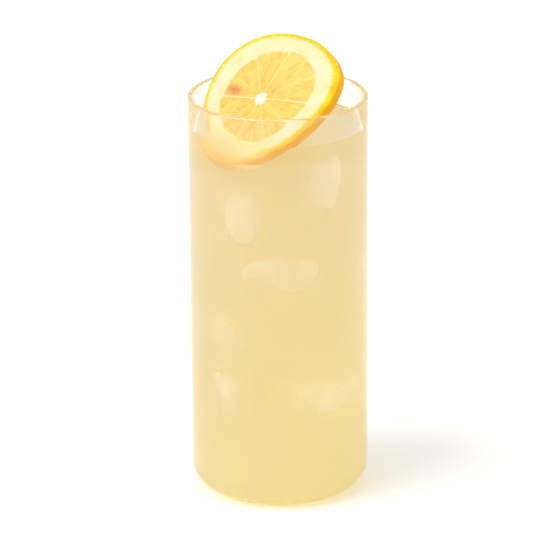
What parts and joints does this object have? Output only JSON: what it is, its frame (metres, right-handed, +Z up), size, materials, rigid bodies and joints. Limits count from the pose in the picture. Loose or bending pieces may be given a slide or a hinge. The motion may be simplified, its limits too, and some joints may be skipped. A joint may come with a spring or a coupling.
{
  "type": "glass of lemonade",
  "caption": "Tall straight clear tumbler of cloudy iced lemonade with a round lemon slice leaning in its mouth.",
  "frame": {"origin": "centre of the glass's foot, on the surface that it stands on", "axes": "+Z up along the glass's axis, -Y towards the front, +X to the right"},
  "size_m": [0.065, 0.065, 0.1683],
  "materials": {
    "clear_glass": "clear, fire-polished",
    "lemonade": "cloudy liquid",
    "lemon": "moist fruit"
  },
  "bodies": {
    "root": {"glass": "clear_glass", "lemonade": "lemonade", "lemon_slice": "lemon"}
  },
  "joints": []
}
